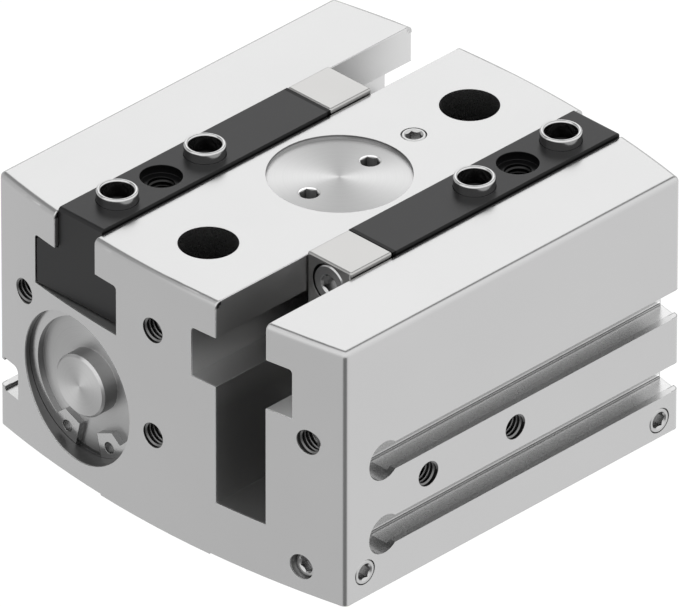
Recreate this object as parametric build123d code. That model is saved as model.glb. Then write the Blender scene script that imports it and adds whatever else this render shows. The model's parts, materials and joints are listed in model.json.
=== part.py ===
from build123d import *
import math
import os

# A pneumatic parallel gripper with two long-stroke jaws.
# Lengths are in millimetres. X is the jaws' travel, Z is up, and the origin is
# the middle of the mounting pad underneath. The left jaw runs in the slot on
# the +Y side. The right jaw is the same piece turned half a turn about Z.

# Housing outline
body_width = 79.3
body_length = 85.4
end_face_r = 185.0
side_bottom = 0.25
body_top = 48.35
pad_half_width = 12.6
edge_round = 1.0
slot_edge_round = 0.15
cut_margin = 2.0
socket_lead = 0.15
edge_tolerance = 0.001

# Jaw slots and what runs in them
slot_y = 19.0
slot_width = 10.3
neck_gap = 0.15
undercut_floor = 32.45
flange_height = 8.65
flange_gap = 0.3
flange_side_gap = 0.4
undercut_corner_r = 0.7
deep_slot_floor = 10.35
leg_gap = 0.3

# Jaws
stroke = 20.0
jaw_setback = 2.4
jaw_rise = 0.75
jaw_end_round = 0.6
flange_chamfer = 0.4
jaw_hole_pitch = 10.0
jaw_first_hole = 8.45
jaw_thread_depth = 10.5

# Locating sleeves on the jaws
sleeve_r = 3.5
sleeve_bore_r = 2.75
sleeve_seat_gap = 0.05
sleeve_seat_depth = 1.5
sleeve_proud = 1.95
sleeve_round = 0.35

# Drivers and their screws
driver_x = 12.0
driver_thickness = 9.5
driver_rise = 0.85
driver_round = 0.4
driver_screw_below_top = 4.25
screw_thread_r = 2.0
screw_head_r = 3.5
screw_head_height = 4.0
screw_head_gap = 0.25
screw_hole_gap = 0.25
screw_shank = 13.0
screw_socket_flats = 3.0
screw_socket_depth = 2.0
tapped_spare_depth = 1.0
thread_gap = 0.05

# Cylinder bores
bore_r = 12.5
bore_z = 17.3
rod_wall = 9.2
cap_step = 1.0

# Pistons and rods
piston_length = 12.0
piston_end_gap = 1.0
piston_side_gap = 0.3
rod_r = 5.0
rod_stud_r = 3.0
seal_width = 2.2
seal_thickness = 2.45
seal_side_gap = 0.05
seal_from_end = 1.2
magnet_width = 3.2
magnet_thickness = 3.65
nut_flats = 10.0
nut_height = 4.0
nut_inset = 0.2
nut_recess_gap = 0.5

# Rod bushes and seals
running_gap = 0.03
fixed_gap = 0.02
rod_bush_wall = 0.97
rod_seal_length = 2.0
rod_seal_wall = 1.95

# End caps with their seals and retaining rings
ring_setback = 4.0
ring_thickness = 1.2
ring_axial_gap = 0.05
ring_groove_depth = 0.65
ring_radial_gap = 0.05
ring_band = 2.5
ring_lug_depth = 2.4
ring_lug_start = 12.6
ring_lug_end = 35.3
ring_lug_foot = 38.7
ring_hole_r = 1.05
ring_hole_angle = 24.5
cap_thickness = 3.5
cap_side_gap = 0.05
cap_boss_r = 5.6
cap_boss_height = 3.2
cap_chamfer = 0.4
cord_seal_r = 0.8
cord_groove_gap = 0.15

# Pinion between the jaws
tooth_module = 1.0
tooth_count = 20
pressure_angle = 20.0
backlash = 0.15
root_clearance = 0.25
pinion_tip_gap = 0.4
gear_height = 5.8
gear_lift = 0.15
hub_r = 8.0
pin_r = 3.0
pin_seat_depth = 9.0
pin_top_gap = 0.1
pinion_bush_wall = 1.47
bush_end_gap = 0.05
washer_thickness = 0.8
washer_bore_gap = 0.2
washer_gap = 0.05
pocket_floor_rise = 0.55

# Pinion cover
cover_r = 12.0
cover_thickness = 3.0
cover_recess = 0.6
cover_socket_x = 7.0
cover_socket_flats = 2.9
cover_socket_depth = 2.4

# Screw that closes the hole in the top land
top_screw_x = 17.1
top_screw_r = 2.15
top_screw_length = 4.5
top_screw_flats = 2.5
top_hole_spare = 1.5
small_screw_chamfer = 0.25
small_socket_depth = 1.6

# Mounting holes through the housing
mount_pitch = 60.0
mount_hole_r = 2.75
mount_head_r = 5.0
mount_head_floor = 30.0
mount_seat_r = 4.5
mount_seat_depth = 2.1

# Tapped holes in the end faces, at the thread's mean radius
thread_r = 2.25
end_pair_pitch = 65.0
end_pair_z = 29.2
end_column_pitch = 20.0
end_lower_depth = 8.5
end_upper_depth = 6.0
end_pair_depth = 9.0

# Air ports and channels
open_port_x = 0.5
close_port_x = -19.5
port_depth = 6.0
channel_r = 1.5
cross_channel_r = 1.0
channel_y = 31.2
channel_z = 5.0
far_cross_z = 3.5
plug_r = 2.25
plug_length = 2.8
plug_flats = 2.5
end_plug_inset = 1.0
bottom_plug_inset = 0.2
plug_hole_spare = 0.4

# Sensor slots in the sides
sensor_low_z = 10.3
sensor_high_z = 24.3
sensor_mouth = 5.2
sensor_lip = 1.3
sensor_chamber = 6.2
sensor_depth = 5.2
sensor_corner_r = 1.2
sensor_pocket_r = 3.55
sensor_pocket_x = 29.5

# Places worked out from the sizes above
half_length = body_length / 2
half_width = body_width / 2
past_end = half_length + cut_margin
past_top = body_top + cut_margin
slot_half = slot_width / 2
neck_half = slot_half - neck_gap
pitch_r = tooth_module * tooth_count / 2
rack_tip_y = pitch_r - tooth_module
rack_root_y = pitch_r + tooth_module + root_clearance
flange_half = slot_y - rack_tip_y
undercut_half = flange_half + flange_side_gap
flange_bottom = undercut_floor + flange_gap
flange_top = flange_bottom + flange_height
undercut_top = flange_top + flange_gap
jaw_outer_x = half_length - jaw_setback
jaw_top = body_top + jaw_rise
jaw_hole_xs = [-jaw_outer_x + jaw_first_hole + jaw_hole_pitch * i for i in range(3)]
sleeve_bottom = jaw_top - sleeve_seat_depth
driver_outer_x = driver_x + driver_thickness
driver_top = body_top + driver_rise
driver_foot = deep_slot_floor + leg_gap
driver_screw_zs = [driver_top - driver_screw_below_top, bore_z]
screw_tip_x = driver_outer_x - screw_head_height - screw_shank
deep_slot_x = driver_x - leg_gap
bore_inner_x = deep_slot_x - rod_wall
rod_seal_x = bore_inner_x + rod_seal_length
ring_front_x = half_length - ring_setback
ring_back_x = ring_front_x - ring_thickness
cap_inner_x = ring_back_x - cap_thickness
cap_tip_x = ring_back_x + cap_boss_height
cap_pocket_r = bore_r + cap_step
ring_groove_r = cap_pocket_r + ring_groove_depth
ring_outer_r = ring_groove_r - ring_radial_gap
ring_inner_r = ring_outer_r - ring_band
ring_lug_r = ring_inner_r - ring_lug_depth
piston_back_x = cap_inner_x - piston_end_gap
piston_front_x = piston_back_x - piston_length
piston_mid_x = piston_back_x - piston_length / 2
piston_r = bore_r - piston_side_gap
nut_back_x = piston_back_x - nut_inset
nut_recess_r = nut_flats / math.sqrt(3) + nut_recess_gap
cover_top = body_top - cover_recess
cover_bottom = cover_top - cover_thickness
pocket_floor = undercut_floor + pocket_floor_rise
hub_bottom = pocket_floor + washer_thickness + washer_gap
hub_top = cover_bottom - washer_thickness - 2 * washer_gap
gear_bottom = hub_bottom + gear_lift
gear_tip_r = pitch_r + tooth_module
gear_root_r = pitch_r - tooth_module - root_clearance
pinion_bush_r = pin_r + running_gap + pinion_bush_wall
side_cross_x = cap_inner_x
sensor_back_y = half_width - sensor_depth


def block(x0, x1, y0, y1, z0, z1):
    size = Box(x1 - x0, y1 - y0, z1 - z0)
    return Pos((x0 + x1) / 2, (y0 + y1) / 2, (z0 + z1) / 2) * size


def bar_x(radius, x0, x1, y, z):
    return Pos((x0 + x1) / 2, y, z) * Rot(0, 90, 0) * Cylinder(radius, x1 - x0)


def bar_y(radius, x, y0, y1, z):
    return Pos(x, (y0 + y1) / 2, z) * Rot(90, 0, 0) * Cylinder(radius, y1 - y0)


def bar_z(radius, x, y, z0, z1):
    return Pos(x, y, (z0 + z1) / 2) * Cylinder(radius, z1 - z0)


def tube_x(inner_r, outer_r, x0, x1, y, z):
    hole = bar_x(inner_r, x0 - cut_margin, x1 + cut_margin, y, z)
    return bar_x(outer_r, x0, x1, y, z) - hole


def tube_z(inner_r, outer_r, x, y, z0, z1):
    hole = bar_z(inner_r, x, y, z0 - cut_margin, z1 + cut_margin)
    return bar_z(outer_r, x, y, z0, z1) - hole


def hexagon(flats, length):
    corner_r = flats / math.sqrt(3)
    return extrude(RegularPolygon(corner_r, 6), length)


# Hexagon socket with a coned lead-in, to be cut down from z = 0
def socket_cut(flats, depth):
    inner_r = flats / 2
    mouth_r = flats / math.sqrt(3) + socket_lead
    cone_depth = mouth_r - inner_r
    cone = Pos(0, 0, -cone_depth / 2) * Cone(inner_r, mouth_r, cone_depth)
    mouth = Pos(0, 0, cut_margin / 2) * Cylinder(mouth_r, cut_margin)
    return Pos(0, 0, -depth) * hexagon(flats, depth + cut_margin) + cone + mouth


def half_turn(shape):
    return Rot(0, 0, 180) * shape


def end_face_x(y):
    return half_length - end_face_r + math.sqrt(end_face_r ** 2 - y ** 2)


# Plan of the housing out to a given half width, with its curved ends
def plan_face(reach):
    corner_x = end_face_x(reach)
    right_end = ThreePointArc((corner_x, -reach), (half_length, 0), (corner_x, reach))
    left_end = ThreePointArc((-corner_x, reach), (-half_length, 0), (-corner_x, -reach))
    near_side = Line((-corner_x, -reach), (corner_x, -reach))
    far_side = Line((corner_x, reach), (-corner_x, reach))
    return make_face([near_side, right_end, far_side, left_end])


def plan_block(reach, z0, z1):
    return Pos(0, 0, z0) * extrude(plan_face(reach), z1 - z0, dir=(0, 0, 1))


# Block with the necks of both jaw slots. Its outer edges are well rounded, and
# the edges of the necks are only eased.
def outer_block():
    body = plan_block(half_width, side_bottom, body_top)
    top_edges = body.faces().sort_by(Axis.Z)[-1].edges()
    body = fillet(top_edges + body.edges().filter_by(Axis.Z), edge_round)
    neck = block(-past_end, past_end, slot_y - slot_half, slot_y + slot_half,
                 undercut_floor, past_top)
    body -= neck
    body -= half_turn(neck)
    body = fillet(body.edges().filter_by(is_neck_edge), slot_edge_round)
    return body + plan_block(pad_half_width, 0, undercut_floor)


# True for the upper and end edges of the neck walls
def is_neck_edge(edge):
    middle = edge.center()
    off_wall = abs(abs(abs(middle.Y) - slot_y) - slot_half)
    return off_wall < edge_tolerance and middle.Z > undercut_floor + edge_tolerance


# Lower parts of the left jaw's slot: the undercut, and the deep end for the driver's leg
def jaw_slot_cut():
    near = slot_y - slot_half
    far = slot_y + slot_half
    wide = block(-past_end, past_end, slot_y - undercut_half, slot_y + undercut_half,
                 undercut_floor, undercut_top)
    upper = wide.edges().filter_by(Axis.X).group_by(Axis.Z)[-1]
    wide = fillet(upper, undercut_corner_r)
    deep = block(deep_slot_x, past_end, near, far, deep_slot_floor, flange_top)
    return wide + deep


# Cylinder for the left jaw, with its cap pocket at the outer end
def bore_cut():
    y = slot_y
    z = bore_z
    bore = bar_x(bore_r, -cap_inner_x, bore_inner_x, y, z)
    pocket = bar_x(cap_pocket_r, -past_end, -cap_inner_x, y, z)
    groove = bar_x(ring_groove_r, -ring_front_x - ring_axial_gap, -ring_back_x, y, z)
    seal_r = rod_r + seal_side_gap + rod_seal_wall + fixed_gap
    bush_r = rod_r + running_gap + rod_bush_wall + fixed_gap
    seal = bar_x(seal_r, bore_inner_x - cut_margin, rod_seal_x, y, z)
    bush = bar_x(bush_r, rod_seal_x - cut_margin, deep_slot_x + cut_margin, y, z)
    return bore + pocket + groove + seal + bush


# Tapped holes of one end face, at the -X end
def end_holes_cut():
    cuts = bar_x(thread_r, -past_end, -half_length + end_lower_depth, 0, bore_z)
    upper_z = bore_z + end_column_pitch
    cuts += bar_x(thread_r, -past_end, -half_length + end_upper_depth, 0, upper_z)
    pair_y = end_pair_pitch / 2
    floor_x = -end_face_x(pair_y) + end_pair_depth
    for y in (-pair_y, pair_y):
        cuts += bar_x(thread_r, -past_end, floor_x, y, end_pair_z)
    return cuts


# Sensor slot in the -Y side, from its round pocket to the +X end
def sensor_slot_cut(z):
    outside = -half_width - cut_margin
    back = -sensor_back_y
    inner = -half_width + sensor_lip
    mouth_half = sensor_mouth / 2
    chamber_half = sensor_chamber / 2
    mouth = block(-sensor_pocket_x, past_end, outside, inner, z - mouth_half, z + mouth_half)
    chamber = block(-sensor_pocket_x, past_end, inner, back, z - chamber_half, z + chamber_half)
    upper_back = chamber.edges().filter_by(Axis.X).group_by(Axis.Y)[-1].sort_by(Axis.Z)[-1]
    chamber = fillet(upper_back, sensor_corner_r)
    pocket = bar_y(sensor_pocket_r, -sensor_pocket_x, outside, back, z)
    return mouth + chamber + pocket


def mount_holes_cut():
    cuts = Part()
    for x in (-mount_pitch / 2, mount_pitch / 2):
        cuts += bar_z(mount_hole_r, x, 0, -cut_margin, past_top)
        cuts += bar_z(mount_head_r, x, 0, mount_head_floor, past_top)
        cuts += bar_z(mount_seat_r, x, 0, -cut_margin, mount_seat_depth)
    return cuts


# Pocket in the middle for the pinion, its pin and its cover
def pinion_pocket_cut():
    pocket = bar_z(gear_tip_r + pinion_tip_gap, 0, 0, pocket_floor, past_top)
    seat = bar_z(cover_r, 0, 0, cover_bottom, past_top)
    pin_hole = bar_z(pin_r + fixed_gap, 0, 0, pocket_floor - pin_seat_depth, past_top)
    screw_floor = body_top - top_screw_length - top_hole_spare
    screw_hole = bar_z(top_screw_r + fixed_gap, top_screw_x, 0, screw_floor, past_top)
    return pocket + seat + pin_hole + screw_hole


# Ports on the -Y side. One feeds both rod chambers straight across. The other
# drops to a long channel that feeds both cap chambers through cross channels.
def air_cut():
    outside = -half_width - cut_margin
    thread_end = -half_width + port_depth
    plug_hole_r = plug_r + fixed_gap
    plug_end = -half_width + plug_length + plug_hole_spare
    cuts = bar_y(thread_r, open_port_x, outside, thread_end, bore_z)
    cuts += bar_y(channel_r, open_port_x, outside, slot_y - bore_r + channel_r, bore_z)
    cuts += bar_y(thread_r, close_port_x, outside, thread_end, bore_z)
    cuts += bar_y(channel_r, close_port_x, outside, -channel_y, bore_z)
    cuts += bar_z(channel_r, close_port_x, -channel_y, -cut_margin, bore_z)
    bottom_end = side_bottom + bottom_plug_inset + plug_length
    cuts += bar_z(plug_hole_r, close_port_x, -channel_y, -cut_margin, bottom_end)
    cuts += bar_x(channel_r, -past_end, side_cross_x, -channel_y, channel_z)
    end_plug_end = -end_face_x(channel_y) + end_plug_inset + plug_length
    cuts += bar_x(plug_hole_r, -past_end, end_plug_end, -channel_y, channel_z)
    cuts += bar_y(cross_channel_r, -side_cross_x, outside, slot_y, channel_z)
    cuts += bar_y(plug_hole_r, -side_cross_x, outside, plug_end, channel_z)
    cuts += bar_y(cross_channel_r, side_cross_x, outside, -slot_y, far_cross_z)
    cuts += bar_y(plug_hole_r, side_cross_x, outside, plug_end, far_cross_z)
    return cuts


def housing():
    body = outer_block()
    for cut in (jaw_slot_cut(), bore_cut(), end_holes_cut(), sensor_slot_cut(sensor_low_z)):
        body -= cut
        body -= half_turn(cut)
    body -= sensor_slot_cut(sensor_high_z)
    body -= mount_holes_cut()
    body -= pinion_pocket_cut()
    body -= air_cut()
    return body


# Involute pinion with a tooth centred on +Y
def tooth_half_angle(radius):
    base_r = pitch_r * math.cos(math.radians(pressure_angle))
    at_pitch = (math.pi * tooth_module / 2 - backlash) / (2 * pitch_r)
    pitch_involute = involute(math.radians(pressure_angle))
    return at_pitch + pitch_involute - involute(math.acos(base_r / radius))


def involute(angle):
    return math.tan(angle) - angle


def polar(radius, angle):
    return (radius * math.sin(angle), radius * math.cos(angle))


def gear_face():
    base_r = pitch_r * math.cos(math.radians(pressure_angle))
    steps = 5
    radii = [base_r + (gear_tip_r - base_r) * i / steps for i in range(steps + 1)]
    step_angle = 2 * math.pi / tooth_count
    edges = []
    for i in range(tooth_count):
        centre = i * step_angle
        near = [polar(r, centre - tooth_half_angle(r)) for r in radii]
        far = [polar(r, centre + tooth_half_angle(r)) for r in radii]
        root_angle = tooth_half_angle(base_r)
        near_root = polar(gear_root_r, centre - root_angle)
        far_root = polar(gear_root_r, centre + root_angle)
        next_root = polar(gear_root_r, centre + step_angle - root_angle)
        edges += [Line(near_root, near[0]), Spline(*near)]
        edges += [ThreePointArc(near[-1], polar(gear_tip_r, centre), far[-1])]
        edges += [Spline(*far), Line(far[0], far_root)]
        mid_gap = polar(gear_root_r, centre + step_angle / 2)
        edges += [ThreePointArc(far_root, mid_gap, next_root)]
    return make_face(edges)


def pinion():
    gear = Pos(0, 0, gear_bottom) * extrude(gear_face(), gear_height, dir=(0, 0, 1))
    hub = bar_z(hub_r, 0, 0, hub_bottom, hub_top)
    bush_hole = bar_z(pinion_bush_r + fixed_gap, 0, 0, 0, past_top)
    return gear + hub - bush_hole


def pinion_bush():
    bottom = hub_bottom + bush_end_gap
    top = hub_top - bush_end_gap
    return tube_z(pin_r + running_gap, pinion_bush_r, 0, 0, bottom, top)


def pinion_pin():
    bottom = pocket_floor - pin_seat_depth
    pin = bar_z(pin_r, 0, 0, bottom, cover_bottom - pin_top_gap)
    return chamfer(pin.edges(), small_screw_chamfer)


def thrust_washers():
    inner_r = pin_r + washer_bore_gap
    lower = tube_z(inner_r, hub_r, 0, 0, pocket_floor, pocket_floor + washer_thickness)
    upper_bottom = hub_top + washer_gap
    upper = tube_z(inner_r, hub_r, 0, 0, upper_bottom, upper_bottom + washer_thickness)
    return lower + upper


def pinion_cover():
    disc = bar_z(cover_r - fixed_gap, 0, 0, cover_bottom, cover_top)
    for x in (-cover_socket_x, cover_socket_x):
        disc -= Pos(x, 0, cover_top) * socket_cut(cover_socket_flats, cover_socket_depth)
    return disc


# Space between two rack teeth, centred on x
def rack_space(x):
    slope = math.tan(math.radians(pressure_angle))
    half_pitch_gap = math.pi * tooth_module / 4
    mouth_y = rack_tip_y - tooth_module
    mouth_half = half_pitch_gap + slope * (pitch_r - mouth_y)
    root_half = half_pitch_gap - slope * (rack_root_y - pitch_r)
    corners = [(x - mouth_half, mouth_y), (x + mouth_half, mouth_y),
               (x + root_half, rack_root_y), (x - root_half, rack_root_y)]
    face = make_face(Polyline(*corners, close=True))
    return Pos(0, 0, flange_bottom - cut_margin) * extrude(face, flange_height + 2 * cut_margin,
                                                           dir=(0, 0, 1))


# Jaw slide with its rack. The rack reaches as far as the pinion's tip circle
# meets the tip line at either end of the stroke.
def jaw():
    neck = block(-jaw_outer_x, driver_x, slot_y - neck_half, slot_y + neck_half,
                 flange_bottom, jaw_top)
    flange = block(-jaw_outer_x, driver_x, slot_y - flange_half, slot_y + flange_half,
                   flange_bottom, flange_top)
    body = neck + flange
    long_edges = body.edges().filter_by(Axis.X).group_by(Axis.Y)
    body = chamfer(long_edges[0] + long_edges[-1], flange_chamfer)
    end_edge = body.edges().group_by(Axis.Z)[-1].sort_by(Axis.X)[0]
    body = fillet(end_edge, jaw_end_round)
    reach = math.sqrt(gear_tip_r ** 2 - rack_tip_y ** 2)
    pitch = math.pi * tooth_module
    first = -math.ceil((stroke + reach) / pitch)
    last = math.ceil(reach / pitch - 1 / 2)
    for k in range(first, last + 1):
        body -= rack_space(k * pitch)
    for x in jaw_hole_xs:
        seat_r = sleeve_r + sleeve_seat_gap
        body -= bar_z(seat_r, x, slot_y, sleeve_bottom, jaw_top + cut_margin)
        body -= bar_z(thread_r, x, slot_y, sleeve_bottom - jaw_thread_depth, jaw_top)
    screw_z = driver_screw_zs[0]
    tap_end = screw_tip_x - tapped_spare_depth
    body -= bar_x(screw_thread_r, tap_end, driver_x + cut_margin, slot_y, screw_z)
    return body


def sleeves():
    pair = Part()
    for x in (jaw_hole_xs[0], jaw_hole_xs[-1]):
        top = jaw_top + sleeve_proud
        ring = tube_z(sleeve_bore_r, sleeve_r, x, slot_y, sleeve_bottom, top)
        rim = ring.edges().filter_by(GeomType.CIRCLE).group_by(Axis.Z)[-1]
        pair += fillet(rim, sleeve_round)
    return pair


def driver():
    body = block(driver_x, driver_outer_x, slot_y - neck_half, slot_y + neck_half,
                 driver_foot, driver_top)
    body = fillet(body.faces().sort_by(Axis.Z)[-1].edges() + body.edges().filter_by(Axis.Z),
                  driver_round)
    for z in driver_screw_zs:
        head_x = driver_outer_x - screw_head_height
        head_r = screw_head_r + screw_head_gap
        body -= bar_x(head_r, head_x, driver_outer_x + cut_margin, slot_y, z)
        body -= bar_x(screw_thread_r + screw_hole_gap, driver_x - cut_margin, head_x, slot_y, z)
    return body


def driver_screw(z):
    head_x = driver_outer_x - screw_head_height
    head = bar_x(screw_head_r, head_x, driver_outer_x, slot_y, z)
    rim = head.edges().sort_by(Axis.X)[-1]
    head = chamfer(rim, small_screw_chamfer)
    shank = bar_x(screw_thread_r - thread_gap, screw_tip_x, head_x, slot_y, z)
    socket = Rot(0, 90, 0) * socket_cut(screw_socket_flats, screw_socket_depth)
    return head + shank - Pos(driver_outer_x, slot_y, z) * socket


def driver_screws():
    return driver_screw(driver_screw_zs[0]) + driver_screw(driver_screw_zs[1])


def piston_rod():
    rod = bar_x(rod_r, -piston_front_x, driver_x, slot_y, bore_z)
    stud = bar_x(rod_stud_r, -nut_back_x, -piston_front_x, slot_y, bore_z)
    tap_end = screw_tip_x - tapped_spare_depth
    tap = bar_x(screw_thread_r, tap_end, driver_x + cut_margin, slot_y, bore_z)
    return rod + stud - tap


def seal_starts():
    return [-piston_back_x + seal_from_end, -piston_front_x - seal_from_end - seal_width]


def piston():
    y = slot_y
    z = bore_z
    body = bar_x(piston_r, -piston_back_x, -piston_front_x, y, z)
    groove_r = bore_r - seal_side_gap - seal_thickness - fixed_gap
    for x in seal_starts():
        body -= tube_x(groove_r, bore_r, x, x + seal_width, y, z)
    magnet_r = piston_r - magnet_thickness
    magnet_x = -piston_mid_x - magnet_width / 2
    body -= tube_x(magnet_r, bore_r, magnet_x, magnet_x + magnet_width, y, z)
    body -= bar_x(rod_stud_r + fixed_gap, -past_end, past_end, y, z)
    body -= bar_x(nut_recess_r, -past_end, -nut_back_x + nut_height, y, z)
    return body


def piston_seals():
    pair = Part()
    outer_r = bore_r - seal_side_gap
    for x in seal_starts():
        ring = tube_x(outer_r - seal_thickness, outer_r, x, x + seal_width, slot_y, bore_z)
        rim = ring.edges().filter_by(GeomType.CIRCLE).sort_by(SortBy.RADIUS)[-2:]
        pair += fillet(rim, sleeve_round)
    return pair


def piston_magnet():
    x = -piston_mid_x - magnet_width / 2
    inner_r = piston_r - magnet_thickness + fixed_gap
    return tube_x(inner_r, piston_r - fixed_gap, x, x + magnet_width, slot_y, bore_z)


def piston_nut():
    nut = Rot(0, 90, 0) * hexagon(nut_flats, nut_height)
    nut = Pos(-nut_back_x, slot_y, bore_z) * nut
    return nut - bar_x(rod_stud_r + fixed_gap, -past_end, past_end, slot_y, bore_z)


def rod_bush():
    inner_r = rod_r + running_gap
    outer_r = inner_r + rod_bush_wall
    return tube_x(inner_r, outer_r, rod_seal_x, deep_slot_x, slot_y, bore_z)


def rod_seal():
    inner_r = rod_r + seal_side_gap
    outer_r = inner_r + rod_seal_wall
    return tube_x(inner_r, outer_r, bore_inner_x, rod_seal_x, slot_y, bore_z)


def cap_groove_place():
    depth = 2 * cord_seal_r + seal_side_gap
    width = 2 * cord_seal_r + 2 * cord_groove_gap
    return depth, width, -cap_inner_x - cap_thickness / 2


def end_cap():
    y = slot_y
    z = bore_z
    outer_r = cap_pocket_r - cap_side_gap
    depth, width, middle = cap_groove_place()
    disc = bar_x(outer_r, -ring_back_x, -cap_inner_x, y, z)
    disc -= tube_x(outer_r - depth, cap_pocket_r, middle - width / 2, middle + width / 2, y, z)
    boss = bar_x(cap_boss_r, -cap_tip_x, -ring_back_x, y, z)
    boss = chamfer(boss.edges().sort_by(Axis.X)[0], cap_chamfer)
    return disc + boss


def cap_seal():
    middle = cap_groove_place()[2]
    centre_r = cap_pocket_r - cap_side_gap - cord_seal_r
    return Pos(middle, slot_y, bore_z) * Rot(0, 90, 0) * Torus(centre_r, cord_seal_r)


# Point on a ring, with its angle in degrees from straight down
def ring_point(radius, angle):
    turn = math.radians(angle)
    return (radius * math.sin(turn), -radius * math.cos(turn))


def ring_arc(radius, start, end):
    middle = (start + end) / 2
    return ThreePointArc(ring_point(radius, start), ring_point(radius, middle),
                         ring_point(radius, end))


# Lug with straight sides, drawn out to the middle of the ring's band
def ring_lug(side):
    band_r = (ring_inner_r + ring_outer_r) / 2
    corners = [ring_point(band_r, side * ring_lug_start), ring_point(ring_lug_r, side * ring_lug_start),
               ring_point(ring_lug_r, side * ring_lug_end), ring_point(ring_inner_r, side * ring_lug_foot),
               ring_point(band_r, side * ring_lug_foot)]
    return make_face(Polyline(*corners, close=True))


# Internal circlip, open between its two lugs at the bottom
def retaining_ring():
    start = ring_lug_start
    end = 360 - ring_lug_start
    sides = [Line(ring_point(ring_inner_r, turn), ring_point(ring_outer_r, turn))
             for turn in (start, end)]
    face = make_face([ring_arc(ring_outer_r, start, end), ring_arc(ring_inner_r, start, end)] + sides)
    for side in (-1, 1):
        face += ring_lug(side)
        face -= Pos(*ring_point(ring_inner_r, side * ring_hole_angle)) * Circle(ring_hole_r)
    plate = extrude(face, ring_thickness, dir=(0, 0, 1))
    upright = Rot(0, 0, 90) * Rot(90, 0, 0) * plate
    return Pos(-ring_front_x, slot_y, bore_z) * upright


# Hexagon-socket screw standing on its tip, with its head end at z = 0
def small_screw(radius, length, flats):
    body = Pos(0, 0, -length / 2) * Cylinder(radius, length)
    body = chamfer(body.edges().sort_by(Axis.Z)[-1], small_screw_chamfer)
    return body - socket_cut(flats, small_socket_depth)


def top_set_screw():
    return Pos(top_screw_x, 0, body_top) * small_screw(top_screw_r, top_screw_length,
                                                       top_screw_flats)


# Screws that close the drilled channels: two in the side, one in the end, one below
def channel_plugs():
    plug = small_screw(plug_r, plug_length, plug_flats)
    to_side = Rot(90, 0, 0) * plug
    to_end = Rot(0, -90, 0) * plug
    to_bottom = Rot(180, 0, 0) * plug
    end_x = -end_face_x(channel_y) + end_plug_inset
    plugs = Pos(-side_cross_x, -half_width, channel_z) * to_side
    plugs += Pos(side_cross_x, -half_width, far_cross_z) * to_side
    plugs += Pos(end_x, -channel_y, channel_z) * to_end
    plugs += Pos(close_port_x, -channel_y, side_bottom + bottom_plug_inset) * to_bottom
    return plugs


single_parts = {
    "housing": housing,
    "pinion_pin": pinion_pin,
    "pinion_cover": pinion_cover,
    "thrust_washers": thrust_washers,
    "top_set_screw": top_set_screw,
    "channel_plugs": channel_plugs,
    "pinion": pinion,
    "pinion_bush": pinion_bush,
}

paired_parts = {
    "jaw": jaw,
    "driver": driver,
    "driver_screws": driver_screws,
    "sleeves": sleeves,
    "piston_rod": piston_rod,
    "piston": piston,
    "piston_seals": piston_seals,
    "piston_magnet": piston_magnet,
    "piston_nut": piston_nut,
    "rod_bush": rod_bush,
    "rod_seal": rod_seal,
    "end_cap": end_cap,
    "cap_seal": cap_seal,
    "retaining_ring": retaining_ring,
}

os.makedirs("parts", exist_ok=True)
for name, make in single_parts.items():
    export_step(make(), f"parts/{name}.step")
for name, make in paired_parts.items():
    shape = make()
    export_step(shape, f"parts/left_{name}.step")
    export_step(half_turn(shape), f"parts/right_{name}.step")
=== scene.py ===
import json
import math

import bmesh
import bpy
from mathutils import Matrix, Vector


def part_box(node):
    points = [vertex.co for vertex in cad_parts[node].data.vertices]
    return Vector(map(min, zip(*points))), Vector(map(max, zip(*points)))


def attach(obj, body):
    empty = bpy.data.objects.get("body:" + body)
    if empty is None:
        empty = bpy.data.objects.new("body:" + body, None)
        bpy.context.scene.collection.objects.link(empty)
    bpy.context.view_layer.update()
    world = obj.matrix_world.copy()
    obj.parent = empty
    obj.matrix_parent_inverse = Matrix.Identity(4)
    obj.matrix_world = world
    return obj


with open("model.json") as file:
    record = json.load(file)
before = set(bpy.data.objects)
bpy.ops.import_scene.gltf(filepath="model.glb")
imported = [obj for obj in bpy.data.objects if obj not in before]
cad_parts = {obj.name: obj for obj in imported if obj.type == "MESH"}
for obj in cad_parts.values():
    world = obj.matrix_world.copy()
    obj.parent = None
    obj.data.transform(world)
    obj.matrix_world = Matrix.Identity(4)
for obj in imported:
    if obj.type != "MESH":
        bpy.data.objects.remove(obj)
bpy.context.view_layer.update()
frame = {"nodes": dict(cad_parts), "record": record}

# The looks of a two-jaw pneumatic gripper. Metres, in the frame's own axes.

mm = 0.001
halfLength, halfWidth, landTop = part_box("housing")[1]
endRadius = 185 * mm  # of the convex ends, in plan


# places from the frame

def middle(node):
    low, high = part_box(node)
    return (low + high) / 2


def mountNamed(name):
    return next(m for m in frame["record"]["mounts"] if m["name"] == name)


# Heights of the two holes in the middle of an end face
def columnHeights(side):
    column = mountNamed("end_column_holes_" + side)
    height = column["pos_m"][2]
    rise = column["dims"]["spacing_y_mm"] * mm / 2
    return height - rise, height + rise


# camera

cameraSettings = {
    "distance": 3945.2 * mm,
    "azimuth": 44.82,  # heading of the line of sight, from +X towards +Y
    "elevation": 32.0,
    "roll": 0.06,
    "aim": (-1.59 * mm, -1.71 * mm, 25.0 * mm),
    "lens": 1286.0,
    "sensor": 36.0,
    "clip": (0.1, 20.0),
}


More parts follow.
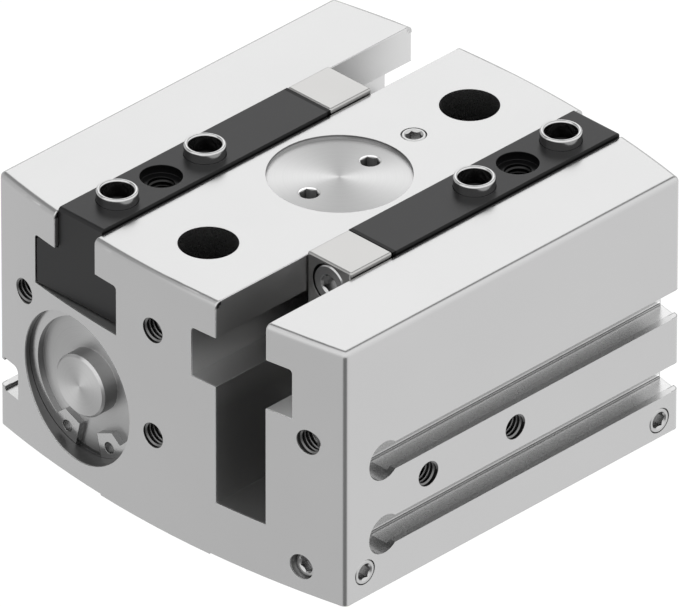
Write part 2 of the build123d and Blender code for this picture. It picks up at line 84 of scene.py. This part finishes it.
def makeCamera(settings):
    heading = math.radians(settings["azimuth"])
    drop = math.radians(settings["elevation"])
    roll = math.radians(settings["roll"])
    level = math.cos(drop)
    sight = Vector((level * math.cos(heading), level * math.sin(heading), -math.sin(drop)))
    turn = sight.to_track_quat("-Z", "Y").to_matrix().to_4x4() @ Matrix.Rotation(roll, 4, "Z")
    camera = bpy.data.objects.new("camera", bpy.data.cameras.new("camera"))
    bpy.context.scene.collection.objects.link(camera)
    camera.matrix_world = Matrix.Translation(Vector(settings["aim"]) - sight * settings["distance"]) @ turn
    camera.data.lens = settings["lens"]
    camera.data.sensor_width = settings["sensor"]
    camera.data.sensor_fit = "HORIZONTAL"
    camera.data.clip_start, camera.data.clip_end = settings["clip"]
    bpy.context.scene.camera = camera


makeCamera(cameraSettings)
bpy.context.scene.view_settings.view_transform = "Standard"
print("camera placed")


# node helpers

class NodeDesk:
    def __init__(self, tree):
        self.tree = tree
        self.nodes = tree.nodes
        self.nodes.clear()

    def add(self, kind, **values):
        node = self.nodes.new(kind)
        for name, value in values.items():
            setattr(node, name, value)
        return node

    def join(self, source, target):
        self.tree.links.new(source, target)

    def feed(self, socket, value):
        if isinstance(value, bpy.types.NodeSocket):
            self.join(value, socket)
        else:
            socket.default_value = value

    def math(self, operation, first, second=0.0):
        node = self.add("ShaderNodeMath", operation=operation)
        self.feed(node.inputs[0], first)
        self.feed(node.inputs[1], second)
        return node.outputs[0]

    def times(self, first, *others):
        for other in others:
            first = self.math("MULTIPLY", first, other)
        return first

    def reach(self, across, up):  # how far a point is from the middle of a circle
        return self.math("SQRT", self.math("ADD", self.times(across, across), self.times(up, up)))

    def darken(self, share, loss):  # a tone of 1, less by the loss where the share is full
        return self.math("SUBTRACT", 1.0, self.times(share, loss))

    def vector(self, operation, first, second=(0, 0, 0)):
        node = self.add("ShaderNodeVectorMath", operation=operation)
        self.feed(node.inputs[0], first)
        self.feed(node.inputs[1], second)
        return node.outputs["Value" if operation in ("DOT_PRODUCT", "LENGTH") else "Vector"]

    def scale(self, value, factor):
        node = self.add("ShaderNodeVectorMath", operation="SCALE")
        self.feed(node.inputs[0], value)
        self.feed(node.inputs["Scale"], factor)
        return node.outputs[0]

    def split(self, place):
        node = self.add("ShaderNodeSeparateXYZ")
        self.join(place, node.inputs[0])
        return node.outputs

    def smooth(self, value, low, high, outLow=0.0, outHigh=1.0):
        node = self.add("ShaderNodeMapRange", interpolation_type="SMOOTHSTEP")
        self.feed(node.inputs["Value"], value)
        self.feed(node.inputs["From Min"], low)
        self.feed(node.inputs["From Max"], high)
        self.feed(node.inputs["To Min"], outLow)
        self.feed(node.inputs["To Max"], outHigh)
        return node.outputs[0]

    def between(self, value, risen, fallen):  # full between two values, nothing on either side
        return self.times(self.smooth(value, *risen), self.smooth(value, *fallen))

    def mixColour(self, factor, first, second):
        node = self.add("ShaderNodeMix", data_type="RGBA")
        self.feed(node.inputs["Factor"], factor)
        self.feed(node.inputs[6], first)  # sockets 6 and 7 are the node's two colours
        self.feed(node.inputs[7], second)
        return node.outputs[2]

    def noise(self, place, scale, detail, roughness=0.5):
        node = self.add("ShaderNodeTexNoise")
        self.join(place, node.inputs["Vector"])
        node.inputs["Scale"].default_value = scale
        node.inputs["Detail"].default_value = detail
        node.inputs["Roughness"].default_value = roughness
        return node.outputs["Fac"]


def grey(level):
    return (level, level, level, 1.0)


# studio: a soft dome of light and a pale floor

domeSettings = {
    "low": 1.13,
    "middle": 1.05,
    "high": 0.50,
    "lowTurn": (-0.35, 0.0),
    "highTurn": (0.40, 0.72),
    "lobes": (  # direction, strength, cosine where it starts, cosine where it is full
        ((0.60, 0.60, 0.53), 1.42, 0.955, 0.985),
        ((-0.60, 0.60, -0.53), 0.06, 0.60, 0.95),
        ((0.60, -0.60, -0.53), 0.40, 0.60, 0.95),
        ((-0.60, -0.60, -0.53), -0.74, 0.76, 0.95),
    ),
    "panels": {  # soft boxes behind the camera, on its left and right, each fading in along an axis
        "level": 1.85, "rearX": (0.15, -0.10), "rearY": (0.68, 0.40), "nearY": (0.14, -0.20),
        "rise": (-0.50, 0.60),
    },
}


def makeDome(settings):
    world = bpy.data.worlds.new("studio")
    bpy.context.scene.world = world
    world.use_nodes = True
    desk = NodeDesk(world.node_tree)
    direction = desk.add("ShaderNodeTexCoord").outputs["Generated"]
    x, y, height = desk.split(direction)
    below = desk.smooth(height, *settings["lowTurn"], settings["low"], settings["middle"])
    above = desk.smooth(height, *settings["highTurn"], 0.0, settings["high"] - settings["middle"])
    light = desk.math("ADD", below, above)
    panels = settings["panels"]
    rear = desk.times(desk.smooth(x, *panels["rearX"]), desk.smooth(y, *panels["rearY"]))
    panel = desk.math("MAXIMUM", rear, desk.smooth(y, *panels["nearY"]))
    panel = desk.times(panel, desk.smooth(height, *panels["rise"]))
    toPanel = desk.times(panel, desk.math("SUBTRACT", panels["level"], light))
    light = desk.math("ADD", light, toPanel)
    for aim, strength, start, full in settings["lobes"]:
        towards = desk.vector("DOT_PRODUCT", direction, Vector(aim).normalized())
        light = desk.math("ADD", light, desk.smooth(towards, start, full, 0.0, strength))
    background = desk.add("ShaderNodeBackground")
    desk.join(light, background.inputs["Strength"])
    background.inputs["Color"].default_value = grey(1.0)
    output = desk.add("ShaderNodeOutputWorld")
    desk.join(background.outputs[0], output.inputs["Surface"])


floorSettings = {"reach": 3.0, "glow": 0.97, "brightness": 1.05, "whiteness": 0.9}


def makeFloor(settings):
    bm = bmesh.new()
    bmesh.ops.create_grid(bm, x_segments=1, y_segments=1, size=settings["reach"])
    mesh = bpy.data.meshes.new("floor")
    bm.to_mesh(mesh)
    bm.free()
    floor = bpy.data.objects.new("floor", mesh)
    bpy.context.scene.collection.objects.link(floor)
    material = bpy.data.materials.new("pale_floor")
    material.use_nodes = True
    desk = NodeDesk(material.node_tree)
    matt = desk.add("ShaderNodeBsdfDiffuse")
    matt.inputs["Color"].default_value = grey(settings["whiteness"])
    glow = desk.add("ShaderNodeEmission")
    glow.inputs["Color"].default_value = grey(1.0)
    glow.inputs["Strength"].default_value = settings["brightness"]
    mix = desk.add("ShaderNodeMixShader")
    mix.inputs[0].default_value = settings["glow"]
    desk.join(matt.outputs[0], mix.inputs[1])
    desk.join(glow.outputs[0], mix.inputs[2])
    output = desk.add("ShaderNodeOutputMaterial")
    desk.join(mix.outputs[0], output.inputs["Surface"])
    mesh.materials.append(material)
    floor.visible_glossy = False  # the metal mirrors the dome instead


makeDome(domeSettings)
makeFloor(floorSettings)
print("studio lit")


# finishes

grainSettings = {
    "cloudDetail": 3.0,
    "grainDetail": 2.0, "grainRoughness": 0.6, "grainRoughSpread": 0.07,
    "ringDetail": 4.0, "ringRoughness": 0.7, "ringRoughSpread": 0.10,
    "crossover": (0.3, 0.7),  # where a noise goes over from the low value to the high one
    "bevelSamples": 8,
}


def surface(name):
    material = bpy.data.materials.new(name)
    material.use_nodes = True
    desk = NodeDesk(material.node_tree)
    shader = desk.add("ShaderNodeBsdfPrincipled")
    output = desk.add("ShaderNodeOutputMaterial")
    desk.join(shader.outputs[0], output.inputs["Surface"])
    place = desk.add("ShaderNodeTexCoord").outputs["Object"]
    return material, desk, shader, place


def roundedEdges(desk, radius):
    bevel = desk.add("ShaderNodeBevel", samples=grainSettings["bevelSamples"])
    desk.feed(bevel.inputs["Radius"], radius)
    return bevel.outputs[0]


def raiseBump(desk, shader, height, settings, edge):
    bump = desk.add("ShaderNodeBump")
    bump.inputs["Strength"].default_value = settings["bump"]
    bump.inputs["Distance"].default_value = settings["bumpDepth"]
    desk.join(height, bump.inputs["Height"])
    desk.join(roundedEdges(desk, edge), bump.inputs["Normal"])
    desk.join(bump.outputs[0], shader.inputs["Normal"])


# A finish's colour, which a noise shifts between a darker tone and a lighter one
def driftingColour(desk, noise, settings):
    dark, light = (tuple(part * (1 + side * settings["spread"]) for part in settings["colour"]) + (1.0,)
                   for side in (-1, 1))
    return desk.mixColour(desk.smooth(noise, *grainSettings["crossover"]), dark, light)


def driftingRoughness(desk, noise, rough, spread):
    return desk.smooth(noise, *grainSettings["crossover"], rough * (1 - spread), rough * (1 + spread))


# Where a point of the housing is, and how deep under its sides, its convex ends and its top
def housingSpot(desk, place):
    x, y, z = desk.split(place)
    across = desk.math("ABSOLUTE", y)
    fromArcCentre = desk.math("ADD", desk.math("ABSOLUTE", x), endRadius - halfLength)
    return {
        "x": x, "y": y, "z": z, "across": across,
        "underSide": desk.math("SUBTRACT", halfWidth, across),
        "underEnd": desk.math("SUBTRACT", endRadius, desk.reach(fromArcCentre, across)),
        "underTop": desk.math("SUBTRACT", landTop, z),
    }


# How near a point is to the rounded outer edges of the housing
def housingOuterEdge(desk, spot, start, full):
    atWall = desk.smooth(desk.math("MINIMUM", spot["underSide"], spot["underEnd"]), start, full)
    atTop = desk.smooth(spot["underTop"], start, full)
    atCorner = desk.smooth(desk.math("MAXIMUM", spot["underSide"], spot["underEnd"]), start, full)
    return desk.times(atWall, desk.math("MAXIMUM", atTop, atCorner))


# Nothing on the housing's skin and full inside its slots and holes
def housingInside(desk, spot, settings):
    underWall = desk.math("MINIMUM", spot["underSide"], spot["underEnd"])
    least = desk.math("MINIMUM", underWall, spot["underTop"])
    offEdge = desk.math("SUBTRACT", 1.0, housingOuterEdge(desk, spot, *settings["edgeReach"]))
    inside = desk.times(desk.smooth(least, *settings["insideReach"]), offEdge)
    return desk.math("MAXIMUM", inside, desk.smooth(least, *settings["deepReach"]))


# Tone of the sensor slots: painted light on their floor and back wall, and a painted highlight line and a
# painted shade line where the back wall meets the slot's floor
def sensorSlotPaintedLight(desk, spot, settings):
    depth = desk.math("ADD", spot["y"], halfWidth)
    inDepth = desk.between(depth, settings["lipReach"], settings["backReach"])
    inSlot = desk.times(inDepth, desk.smooth(spot["underEnd"], *settings["offFace"]))
    tone = 1.0
    for name in settings["slots"]:
        floor = mountNamed(name)["pos_m"][2] - settings["halfHeight"]
        height = desk.math("SUBTRACT", spot["z"], floor)
        upSlot = desk.between(height, settings["fromFloor"], settings["toRoof"])
        litWall = desk.smooth(height, *settings["wallFrom"], settings["floorTone"], settings["wallTone"])
        for lineHeight, halfLine, gain in settings["lines"]:
            away = desk.math("ABSOLUTE", desk.math("SUBTRACT", height, lineHeight))
            paintedLine = desk.smooth(away, halfLine, halfLine * settings["lineCore"], 0.0, gain)
            litWall = desk.math("ADD", litWall, paintedLine)
        gained = desk.times(inSlot, upSlot, desk.math("SUBTRACT", litWall, 1.0))
        tone = desk.math("ADD", gained, tone)
    return tone


# Painted shade on the walls round each end cap, where the snap ring's groove is
def ringGroovePaintedShade(desk, spot, settings):
    bore = middle("left_end_cap")
    aside = desk.math("SUBTRACT", spot["across"], bore.y)
    up = desk.math("SUBTRACT", spot["z"], bore.z)
    inDepth = desk.between(spot["underEnd"], settings["from"], settings["to"])
    inRing = desk.between(desk.reach(aside, up), settings["radius"], settings["outerRadius"])
    atCap = desk.smooth(desk.times(spot["x"], spot["y"]), *settings["unlikeSigns"])
    return desk.darken(desk.times(inDepth, inRing, atCap), settings["loss"])


# Painted shadow on the wall round the pinion cover, just under the top face
def coverRimPaintedShadow(desk, spot, settings):
    inRing = desk.smooth(desk.reach(spot["x"], spot["y"]), *settings["radius"])
    inDepth = desk.between(spot["underTop"], settings["from"], settings["to"])
    return desk.darken(desk.times(inRing, inDepth), settings["loss"])


# Painted shade in the tapped holes, near black between the thread's crests
def tappedHolePaintedShade(desk, spot, settings):
    _, y, z = mountNamed("end_wide_hole_left_near")["pos_m"]
    inEnds = [(abs(y), z)] + [(0.0, height) for height in columnHeights("left")]
    inSide = []
    for port in ("open_port", "close_port"):
        x, _, z = mountNamed(port)["pos_m"]
        inSide.append((x, z))
    shade = 0.0
    for across, depth, centres in ((spot["across"], spot["underEnd"], inEnds),
                                   (spot["x"], spot["underSide"], inSide)):
        below = desk.smooth(depth, *settings["from"])
        for middleAcross, middleUp in centres:
            aside = desk.math("SUBTRACT", across, middleAcross)
            up = desk.math("SUBTRACT", spot["z"], middleUp)
            inHole = desk.times(below, desk.smooth(desk.reach(aside, up), *settings["radius"]))
            shade = desk.math("MAXIMUM", shade, inHole)
    return desk.darken(shade, settings["loss"])


# The housing's slots and holes are duller than its skin. The jaw slots carry painted light, lighter up
# high, with a painted highlight on the rim where they leave the ends. Painted light and shade lie in the
# sensor slots, and painted shade lies in the ring grooves, round the pinion cover and in the tapped holes.
# Its outer edges are eased wide, and all others narrow.
def shadeHousing(desk, place, colour, roughness, settings):
    shade = settings["inside"]
    spot = housingSpot(desk, place)
    inside = housingInside(desk, spot, shade)
    inSlot = desk.between(spot["across"], shade["slotInner"], shade["slotOuter"])
    # painted light on the jaw slots' walls, lighter up high, and a painted highlight on their rims at the
    # ends
    upSlot = desk.smooth(spot["z"], *shade["slotRise"])
    onRimHighlight = desk.times(inSlot, desk.smooth(spot["underEnd"], *shade["rimReach"]))
    slotColour = desk.mixColour(upSlot, grey(shade["lowColour"]), grey(shade["slotColour"]))
    deepColourAndLight = desk.mixColour(inSlot, grey(shade["holeColour"]), slotColour)
    deepColourAndLight = desk.mixColour(onRimHighlight, deepColourAndLight, grey(shade["rimColour"]))
    colour = desk.mixColour(inside, colour, deepColourAndLight)
    for shadeOf, part in ((sensorSlotPaintedLight, "sensor"), (ringGroovePaintedShade, "groove"),
                          (coverRimPaintedShadow, "coverRim"), (tappedHolePaintedShade, "tapped")):
        colour = desk.scale(colour, shadeOf(desk, spot, shade[part]))
    rough = settings["roughness"]
    duller = desk.smooth(inSlot, 0.0, 1.0, shade["holeRoughness"] - rough, shade["slotRoughness"] - rough)
    roughness = desk.math("ADD", roughness, desk.times(inside, duller))
    outer = housingOuterEdge(desk, spot, *shade["outerReach"])
    edge = desk.math("ADD", desk.times(outer, shade["outerEdge"] - settings["edge"]), settings["edge"])
    return colour, roughness, edge


# Painted shade on a jaw, near black in the thin line where it meets its driver
def jawJointPaintedShade(desk, place, settings):
    x, y, _ = desk.split(place)
    along = desk.times(x, desk.math("SIGN", y))  # towards the jaw's own driver
    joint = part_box("left_driver")[0].x
    start, full = settings["before"]
    return desk.smooth(along, joint - start, joint - full, 1.0, settings["tone"])


# Blasted or anodised metal: fine grain, faint drift of tone, eased edges
def blastedMetal(name, settings):
    material, desk, shader, place = surface(name)
    cloud = desk.noise(place, settings["cloudScale"], grainSettings["cloudDetail"])
    grain = desk.noise(place, settings["grainScale"], grainSettings["grainDetail"],
                       grainSettings["grainRoughness"])
    mean = desk.times(desk.math("ADD", cloud, grain), 1 / 2)
    colour = driftingColour(desk, mean, settings)
    roughness = driftingRoughness(desk, grain, settings["roughness"], grainSettings["grainRoughSpread"])
    edge = settings["edge"]
    if "inside" in settings:
        colour, roughness, edge = shadeHousing(desk, place, colour, roughness, settings)
    # painted shade where a jaw meets its driver
    if "joint" in settings:
        colour = desk.scale(colour, jawJointPaintedShade(desk, place, settings["joint"]))
    desk.join(colour, shader.inputs["Base Color"])
    desk.join(roughness, shader.inputs["Roughness"])
    shader.inputs["Metallic"].default_value = settings["metallic"]
    raiseBump(desk, shader, grain, settings, edge)
    return material


# Tone of a turned face with sockets in it: painted shade down in them, and a painted highlight on their
# bevelled rims
def socketPaintedLight(desk, along, settings):
    down = desk.smooth(along, *settings["reach"], settings["tone"], 1.0)
    onRim = desk.between(along, settings["glintFrom"], settings["glintTo"])
    return desk.times(down, desk.math("ADD", desk.times(onRim, settings["glint"]), 1.0))


# Metal turned on a lathe about an axis: fine rings, and a painted fan of highlight and shade out from the
# middle
def turnedMetal(name, settings):
    material, desk, shader, place = surface(name)
    axis = Vector(settings["axis"])
    offset = desk.vector("SUBTRACT", place, settings["centre"])
    along = desk.vector("DOT_PRODUCT", offset, axis)
    flat = desk.vector("SUBTRACT", offset, desk.scale(axis, along))
    around = desk.vector("NORMALIZE", desk.vector("CROSS_PRODUCT", axis, flat))
    desk.join(around, shader.inputs["Tangent"])
    shader.inputs["Anisotropic"].default_value = settings["anisotropy"]
    shader.inputs["Anisotropic Rotation"].default_value = settings["turn"]
    shader.inputs["Metallic"].default_value = 1.0
    ringPlace = desk.add("ShaderNodeCombineXYZ")
    desk.join(desk.vector("LENGTH", flat), ringPlace.inputs["X"])
    rings = desk.noise(ringPlace.outputs[0], settings["ringScale"], grainSettings["ringDetail"],
                       grainSettings["ringRoughness"])
    colour = driftingColour(desk, rings, settings)
    # painted shade in the sockets and a painted highlight on their rims
    if "socket" in settings:
        colour = desk.scale(colour, socketPaintedLight(desk, along, settings["socket"]))
    # painted reflection: lighter out along one way across the face, darker along the other
    outwards = desk.vector("NORMALIZE", flat)
    lit, shaded = (desk.vector("DOT_PRODUCT", outwards, way) for way in settings["fanWays"])
    fan = desk.math("SUBTRACT", desk.times(lit, lit), desk.times(shaded, shaded))
    fan = desk.math("ADD", desk.times(fan, settings["fan"]), 1.0)
    desk.join(desk.scale(colour, fan), shader.inputs["Base Color"])
    roughness = driftingRoughness(desk, rings, settings["roughness"], grainSettings["ringRoughSpread"])
    desk.join(roughness, shader.inputs["Roughness"])
    raiseBump(desk, shader, rings, settings, settings["edge"])
    return material


# In a pair of lengths, such as a reach, an effect starts at the first and is full at the second
bodyFinish = blastedMetal("clear_anodised", {
    "colour": (0.36, 0.36, 0.36), "spread": 0.012, "metallic": 1.0, "roughness": 0.22,
    "cloudScale": 60.0, "grainScale": 5200.0, "bump": 0.01, "bumpDepth": 0.01 * mm, "edge": 0.08 * mm,
    "inside": {
        "insideReach": (0.03 * mm, 0.12 * mm), "deepReach": (0.6 * mm, 1.1 * mm),
        "edgeReach": (1.4 * mm, 1.1 * mm), "outerEdge": 0.38 * mm, "outerReach": (1.8 * mm, 1.2 * mm),
        "holeColour": 0.37, "holeRoughness": 0.28,
        # painted light in the jaw slots: lighter walls up high, and a painted highlight on their rims at
        # the ends
        "slotInner": (7.0 * mm, 8.5 * mm), "slotOuter": (34.2 * mm, 33.0 * mm),
        "slotRise": (27.0 * mm, 32.0 * mm), "lowColour": 0.36, "slotColour": 0.47, "slotRoughness": 0.4,
        "rimReach": (0.3 * mm, 0.18 * mm), "rimColour": 0.98,
        # painted light in the sensor slots, with a painted highlight line and a painted shade line
        "sensor": {
            "slots": ("sensor_slot_low", "sensor_slot_high"), "halfHeight": 3.1 * mm,
            "lipReach": (1.35 * mm, 1.5 * mm), "backReach": (7.0 * mm, 6.5 * mm),
            "fromFloor": (-0.3 * mm, -0.2 * mm), "toRoof": (5.9 * mm, 5.8 * mm),
            "offFace": (0.1 * mm, 0.3 * mm),
            "wallFrom": (0.55 * mm, 0.65 * mm), "floorTone": 1.2, "wallTone": 1.35,
            "lines": ((0.47 * mm, 0.18 * mm, 0.9), (0.21 * mm, 0.15 * mm, -0.85)),  # height, half, gain
            "lineCore": 0.3,
        },
        # painted shade in the snap ring grooves round the end caps
        "groove": {
            "from": (0.1 * mm, 0.5 * mm), "to": (5.0 * mm, 4.0 * mm),
            "radius": (12.4 * mm, 12.8 * mm), "outerRadius": (15.2 * mm, 14.8 * mm),
            "unlikeSigns": (0.0, -1e-6), "loss": 0.55,  # the caps are where x and y differ in sign
        },
        # painted shadow just under the top face round the pinion cover
        "coverRim": {
            "from": (0.02 * mm, 0.05 * mm), "to": (0.45 * mm, 0.25 * mm),
            "radius": (12.5 * mm, 12.3 * mm), "loss": 0.6,
        },
        # painted shade in the tapped holes
        "tapped": {"from": (0.08 * mm, 0.25 * mm), "radius": (2.5 * mm, 2.4 * mm), "loss": 0.7},
    }})
jawFinish = blastedMetal("dark_anodised", {
    "colour": (0.027, 0.027, 0.0275), "spread": 0.03, "metallic": 1.0, "roughness": 0.36,
    "cloudScale": 80.0, "grainScale": 4200.0, "bump": 0.01, "bumpDepth": 0.01 * mm, "edge": 0.12 * mm,
    # painted shade where the jaw meets its driver
    "joint": {"before": (0.85 * mm, 0.7 * mm), "tone": 0.1}})
driverFinish = blastedMetal("ground_steel", {
    "colour": (0.303, 0.301, 0.296), "spread": 0.015, "metallic": 1.0, "roughness": 0.2,
    "cloudScale": 90.0, "grainScale": 4800.0, "bump": 0.01, "bumpDepth": 0.01 * mm, "edge": 0.05 * mm})
sleeveFinish = blastedMetal("hard_steel", {
    "colour": (0.40, 0.40, 0.40), "spread": 0.02, "metallic": 1.0, "roughness": 0.16,
    "cloudScale": 120.0, "grainScale": 5000.0, "bump": 0.01, "bumpDepth": 0.01 * mm, "edge": 0.08 * mm})
screwFinish = blastedMetal("plain_screw_steel", {
    "colour": (0.34, 0.34, 0.34), "spread": 0.03, "metallic": 1.0, "roughness": 0.2,
    "cloudScale": 200.0, "grainScale": 5000.0, "bump": 0.01, "bumpDepth": 0.01 * mm, "edge": 0.06 * mm})
ringFinish = blastedMetal("spring_steel", {
    "colour": (0.35, 0.35, 0.35), "spread": 0.02, "metallic": 1.0, "roughness": 0.2,
    "cloudScale": 150.0, "grainScale": 5000.0, "bump": 0.01, "bumpDepth": 0.01 * mm, "edge": 0.08 * mm})
bronzeFinish = blastedMetal("sintered_bronze", {
    "colour": (0.55, 0.36, 0.17), "spread": 0.06, "metallic": 1.0, "roughness": 0.4,
    "cloudScale": 300.0, "grainScale": 3000.0, "bump": 0.1, "bumpDepth": 0.03 * mm, "edge": 0.08 * mm})
rubberFinish = blastedMetal("nitrile", {
    "colour": (0.02, 0.02, 0.02), "spread": 0.1, "metallic": 0.0, "roughness": 0.55,
    "cloudScale": 300.0, "grainScale": 3000.0, "bump": 0.1, "bumpDepth": 0.03 * mm, "edge": 0.05 * mm})
magnetFinish = blastedMetal("bonded_magnet", {
    "colour": (0.06, 0.06, 0.065), "spread": 0.1, "metallic": 0.3, "roughness": 0.5,
    "cloudScale": 300.0, "grainScale": 2500.0, "bump": 0.1, "bumpDepth": 0.03 * mm, "edge": 0.05 * mm})
# The threads wear darker copies of the housing's and the jaws' metal: painted shade down in the holes
shadedThreadFinish = blastedMetal("thread_in_shade", {
    "colour": (0.13, 0.13, 0.13), "spread": 0.05, "metallic": 1.0, "roughness": 0.25,
    "cloudScale": 200.0, "grainScale": 5000.0, "bump": 0.02, "bumpDepth": 0.01 * mm, "edge": 0.05 * mm})
shadedJawThreadFinish = blastedMetal("jaw_thread_in_shade", {
    "colour": (0.02, 0.02, 0.02), "spread": 0.05, "metallic": 1.0, "roughness": 0.3,
    "cloudScale": 200.0, "grainScale": 5000.0, "bump": 0.02, "bumpDepth": 0.01 * mm, "edge": 0.05 * mm})
coverFinish = turnedMetal("turned_cover", {
    "axis": (0, 0, 1), "centre": middle("pinion_cover"),
    "colour": (0.392, 0.392, 0.392), "spread": 0.05, "roughness": 0.34,
    "anisotropy": 0.93, "turn": 0.25, "ringScale": 3200.0,
    # a painted fan of highlight and shade
    "fan": 0.12, "fanWays": ((0.707, -0.707, 0), (0.707, 0.707, 0)),
    # painted shade in the sockets and a painted highlight on their rims
    "socket": {"reach": (1.2 * mm, 1.3 * mm), "tone": 0.5,
               "glintFrom": (1.27 * mm, 1.32 * mm), "glintTo": (1.49 * mm, 1.46 * mm), "glint": 0.7},
    "bump": 0.08, "bumpDepth": 0.02 * mm, "edge": 0.12 * mm})
capFinishes = {side: turnedMetal("turned_cap_" + side, {
    "axis": (1, 0, 0), "centre": middle(side + "_end_cap"),
    "colour": (0.36, 0.36, 0.36), "spread": 0.05, "roughness": 0.34,
    "anisotropy": 0.9, "turn": 0.25, "ringScale": 3200.0,
    # a painted fan of highlight and shade
    "fan": 0.2, "fanWays": ((0, 0.707, -0.707), (0, 0.707, 0.707)),
    "bump": 0.08, "bumpDepth": 0.02 * mm, "edge": 0.12 * mm}) for side in ("left", "right")}

nodeFinishes = {
    "housing": bodyFinish, "pinion_pin": sleeveFinish, "pinion_cover": coverFinish,
    "thrust_washers": bronzeFinish, "top_set_screw": screwFinish, "channel_plugs": screwFinish,
    "pinion": sleeveFinish, "pinion_bush": bronzeFinish,
}
pairFinishes = {
    "jaw": jawFinish, "driver": driverFinish, "driver_screws": screwFinish, "sleeves": sleeveFinish,
    "piston_rod": sleeveFinish, "piston": bodyFinish, "piston_seals": rubberFinish,
    "piston_magnet": magnetFinish, "piston_nut": screwFinish, "rod_bush": bronzeFinish,
    "rod_seal": rubberFinish, "cap_seal": rubberFinish, "retaining_ring": ringFinish,
}
for side in ("left", "right"):
    for name, finish in pairFinishes.items():
        nodeFinishes[side + "_" + name] = finish
    nodeFinishes[side + "_end_cap"] = capFinishes[side]


def dress(thing, finish):
    thing.data.materials.clear()
    thing.data.materials.append(finish)


for name, finish in nodeFinishes.items():
    dress(frame["nodes"][name], finish)
print("finishes laid on", len(nodeFinishes), "nodes")


# screw threads in the tapped holes

threadSettings = {
    "outerR": 2.26 * mm, "crestR": 1.95 * mm, "pitch": 0.8 * mm,
    "rootHalf": 0.3 * mm, "crestHalf": 0.1 * mm, "stepsPerTurn": 40,
    "depths": {"wide": 8.5 * mm, "low": 8.0 * mm, "high": 5.6 * mm, "port": 6.0 * mm, "jaw": 7.0 * mm},
}


# A ridge that winds down a hole. It starts at the mouth and goes in against the outward axis.
def threadRidge(name, mouth, outward, depth, body, finish):
    settings = threadSettings
    steps = settings["stepsPerTurn"]
    turns = (depth - 2 * settings["rootHalf"]) / settings["pitch"]
    count = int(turns * steps)
    bm = bmesh.new()
    corners = [(settings["outerR"], -settings["rootHalf"]), (settings["crestR"], -settings["crestHalf"]),
               (settings["crestR"], settings["crestHalf"]), (settings["outerR"], settings["rootHalf"])]
    section = [bm.verts.new((r, 0, z - settings["rootHalf"])) for r, z in corners]
    face = bm.faces.new(section)
    angle = count / steps * math.tau
    bmesh.ops.spin(bm, geom=[face] + section + list(face.edges), cent=(0, 0, 0), axis=(0, 0, 1),
                   dvec=(0, 0, -settings["pitch"] / steps), angle=angle, steps=count, use_duplicate=False)
    bmesh.ops.recalc_face_normals(bm, faces=bm.faces)
    turn = Vector(outward).to_track_quat("Z", "Y").to_matrix().to_4x4()
    bmesh.ops.transform(bm, matrix=Matrix.Translation(mouth) @ turn, verts=bm.verts)
    mesh = bpy.data.meshes.new(name)
    bm.to_mesh(mesh)
    bm.free()
    piece = bpy.data.objects.new(name, mesh)
    bpy.context.scene.collection.objects.link(piece)
    dress(piece, finish)
    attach(piece, body)


def threadsInEnds(depths):
    for side, sign in (("left", -1), ("right", 1)):
        outward = (sign, 0, 0)
        for label in ("near", "far"):
            _, y, z = mountNamed(f"end_wide_hole_{side}_{label}")["pos_m"]
            x = sign * (halfLength - endRadius + math.sqrt(endRadius ** 2 - y ** 2))
            threadRidge(f"thread_wide_{side}_{label}", (x, y, z), outward, depths["wide"],
                        "housing", shadedThreadFinish)
        for label, z in zip(("low", "high"), columnHeights(side)):
            threadRidge(f"thread_column_{side}_{label}", (sign * halfLength, 0, z), outward, depths[label],
                        "housing", shadedThreadFinish)


def threadsInPorts(depth):
    for name in ("open_port", "close_port"):
        x, _, z = mountNamed(name)["pos_m"]
        threadRidge("thread_" + name, (x, -halfWidth, z), (0, -1, 0), depth, "housing", shadedThreadFinish)


def threadsInJaws(depth):
    for side in ("left", "right"):
        x, y, _ = mountNamed(side + "_jaw_middle_hole")["pos_m"]
        spacing = mountNamed(side + "_jaw_screw_holes")["dims"]["spacing_x_mm"] * mm / 2
        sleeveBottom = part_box(side + "_sleeves")[0].z
        for label, step in (("outer", -spacing), ("middle", 0), ("inner", spacing)):
            threadRidge(f"thread_jaw_{side}_{label}", (x + step, y, sleeveBottom), (0, 0, 1), depth,
                        side + "_jaw", shadedJawThreadFinish)


threadsInEnds(threadSettings["depths"])
threadsInPorts(threadSettings["depths"]["port"])
threadsInJaws(threadSettings["depths"]["jaw"])
print("threads cut")
